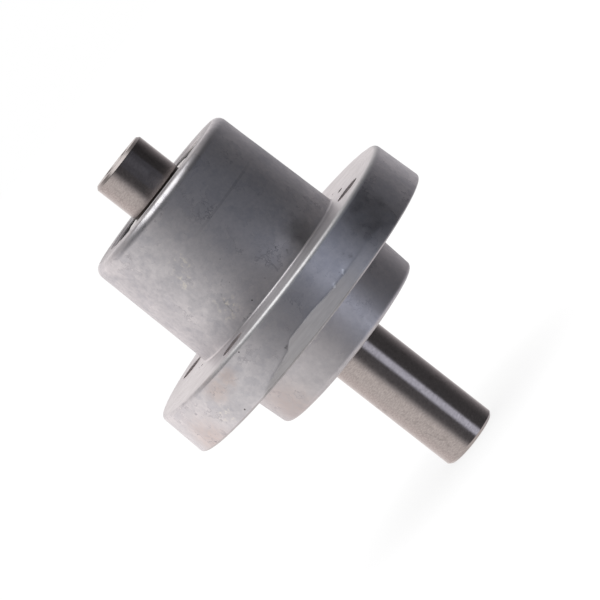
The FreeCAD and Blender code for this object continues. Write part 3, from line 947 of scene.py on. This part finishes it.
# Light of the room, and how far it turns warm behind and cool on the dim side
room_light = Vector((1.02, 1.0, 0.995))
warm_turn = Vector((0.03, 0.0, 0.0))
cool_turn = Vector((-0.05, -0.02, 0.065))

# Towards the dim side of the room, and how far along that way it begins and is full
dim_side = Vector((0.6, 0.05, 0.8))
dim_edge = (-0.58, -0.32)

# Degrees of turn or height where the room's parts begin and are full
dim_left = (-110, -80)
dim_right = (85, 180)
darker_right = (0, 70)
lighter_low = (-3, -9)
back_wall = (95, 150)
warm_wall = (80, 120)
table_edge = (-32, -55)
ceiling_edge = (22, 55)

# Bluish light of a low window on the camera's right, and its four soft sides
window_light = Vector((0.855, 0.92, 1.1))
window_left = (14, 25)
window_right = (50, 39)
window_top = (2, -7)
window_foot = (-46, -36)


def white_world():
    """White all round."""
    world = bpy.data.worlds.new("white_studio")
    tree = empty_tree(world)
    light = add(tree, "ShaderNodeBackground", {"Color": (1, 1, 1, 1), "Strength": 1.0})
    add(tree, "ShaderNodeOutputWorld", {"Surface": light.outputs[0]})
    world.cycles.sampling_method = "NONE"
    bpy.context.scene.world = world


def sheet(name, corners):
    """Flat piece with four corners."""
    data = bpy.data.meshes.new(name)
    data.from_pydata(corners, [], [(0, 1, 2, 3)])
    return new_piece(name, data)


def only_in_metal(piece, material, tint, brightness):
    """Makes a piece glow and hides it from all but the metal's reflections."""
    finished(material, {"Color": tint, "Strength": brightness}, "ShaderNodeEmission")
    material.cycles.emission_sampling = "NONE"
    piece.data.materials.append(material)
    piece.visible_camera = False
    piece.visible_diffuse = False
    piece.visible_shadow = False
    piece.visible_transmission = False


def pale_floor():
    """Pale floor under the shaft's end. It shows white to the camera and keeps the object's shadow."""
    low = shaft_end - floor_gap
    floor = sheet("floor", [(-floor_half, -floor_half, low), (floor_half, -floor_half, low),
                            (floor_half, floor_half, low), (-floor_half, floor_half, low)])
    material = bpy.data.materials.new("pale_floor")
    tree = empty_tree(material)
    matt = add(tree, "ShaderNodeBsdfDiffuse", {"Color": (floor_grey, floor_grey, floor_grey, 1)})
    glow = add(tree, "ShaderNodeEmission", {"Strength": floor_glow})
    finished(material, {0: matt.outputs[0], 1: glow.outputs[0]}, "ShaderNodeAddShader")
    material.cycles.emission_sampling = "NONE"
    floor.data.materials.append(material)
    floor.visible_glossy = False


def room_way(turn, height):
    """Direction in the room by its turn from the camera's side and its height, in degrees."""
    around, up = math.radians(turn), math.radians(height)
    return Vector((math.sin(around) * math.cos(up), -math.cos(around) * math.cos(up), math.sin(up)))


def room_tone(turn, height):
    """Colour of the room in a direction, as the metal sees it."""
    leaving, gone = dim_right
    dim = smooth(*dim_edge, room_way(turn, height).dot(dim_side)) * smooth(*dim_left, turn)
    dim *= 1 - min(1.0, max(0.0, (turn - leaving) / (gone - leaving))) ** 2
    pale = side_wall + back_wall_more * smooth(*back_wall, abs(turn))
    dark = dim_wall - dim_wall_right_less * smooth(*darker_right, turn)
    dark += dim_wall_low_more * smooth(*lighter_low, height)
    wall = pale + (dark - pale) * dim
    wall += (table_level - wall) * smooth(*table_edge, height)
    ceiling = smooth(*ceiling_edge, height)
    level = wall + (ceiling_level - wall) * ceiling
    cool = dim * (1 - ceiling)
    warm = smooth(*warm_wall, abs(turn))
    tone = (room_light + warm_turn * warm + cool_turn * cool) * level
    window = smooth(*window_left, turn) * smooth(*window_right, turn)
    window *= smooth(*window_top, height) * smooth(*window_foot, height)
    return *tone.lerp(window_light, window), 1.0


def studio_room():
    """The room round the table, seen only in the metal: dim on the camera's side, pale behind, grey above."""
    mesh = bmesh.new()
    tone = mesh.verts.layers.float_color.new("tone")
    heights = range(-room_top, room_top + 1, room_step)
    grid = []
    for turn in range(-180, 181, room_step):
        line = []
        for height in heights:
            point = mesh.verts.new(room_way(turn, height) * room_distance)
            point[tone] = room_tone(turn, height)
            line.append(point)
        grid.append(line)
    for left, right in zip(grid, grid[1:]):
        for index in range(len(heights) - 1):
            mesh.faces.new((left[index], right[index], right[index + 1], left[index + 1]))
    room = piece_of("studio_room", mesh)
    material = bpy.data.materials.new("studio_room")
    tint = add(empty_tree(material), "ShaderNodeAttribute", attribute_name="tone").outputs["Color"]
    only_in_metal(room, material, tint, 1.0)


def reflected_card(name, corners, tint, brightness):
    """Card beside the table that shows only in the metal."""
    card = sheet(name, corners)
    material = bpy.data.materials.new(name)
    empty_tree(material)
    only_in_metal(card, material, colour(tint), brightness)


def softbox(name, place, aim, width, height, brightness, tint):
    """Soft lamp of a given brightness, seen in the metal and not by the camera."""
    light = bpy.data.lights.new(name, "AREA")
    light.shape = "RECTANGLE"
    light.size = width
    light.size_y = height
    light.energy = brightness * math.pi * width * height
    light.color = colour(tint)[:3]
    lamp = new_piece(name, light)
    lamp.location = place
    lamp.rotation_euler = (Vector(aim) - Vector(place)).to_track_quat("-Z", "Y").to_euler()
    lamp.visible_camera = False


white_world()
pale_floor()
studio_room()

# A dark flag that keeps the window off the tower: a level card that widens away from it
flag_way = Vector((0.515, -0.857, 0))
flag_across = Vector((0.857, 0.515, 0))
flag_height = Vector((0, 0, 4 * MM))
flag_near, flag_near_half = 0.075, 0.08
flag_far, flag_far_half = 1.5, 0.9
reflected_card("dark_flag", [
    flag_way * flag_near - flag_across * flag_near_half + flag_height,
    flag_way * flag_near + flag_across * flag_near_half + flag_height,
    flag_way * flag_far + flag_across * flag_far_half + flag_height,
    flag_way * flag_far - flag_across * flag_far_half + flag_height,
], tint="#DCE4FA", brightness=0.18)
softbox("top_softbox", place=(0.0, -0.2, 0.9), aim=(0, 0, 0), width=0.8, height=0.9,
        brightness=1.5, tint="#FBFDFF")
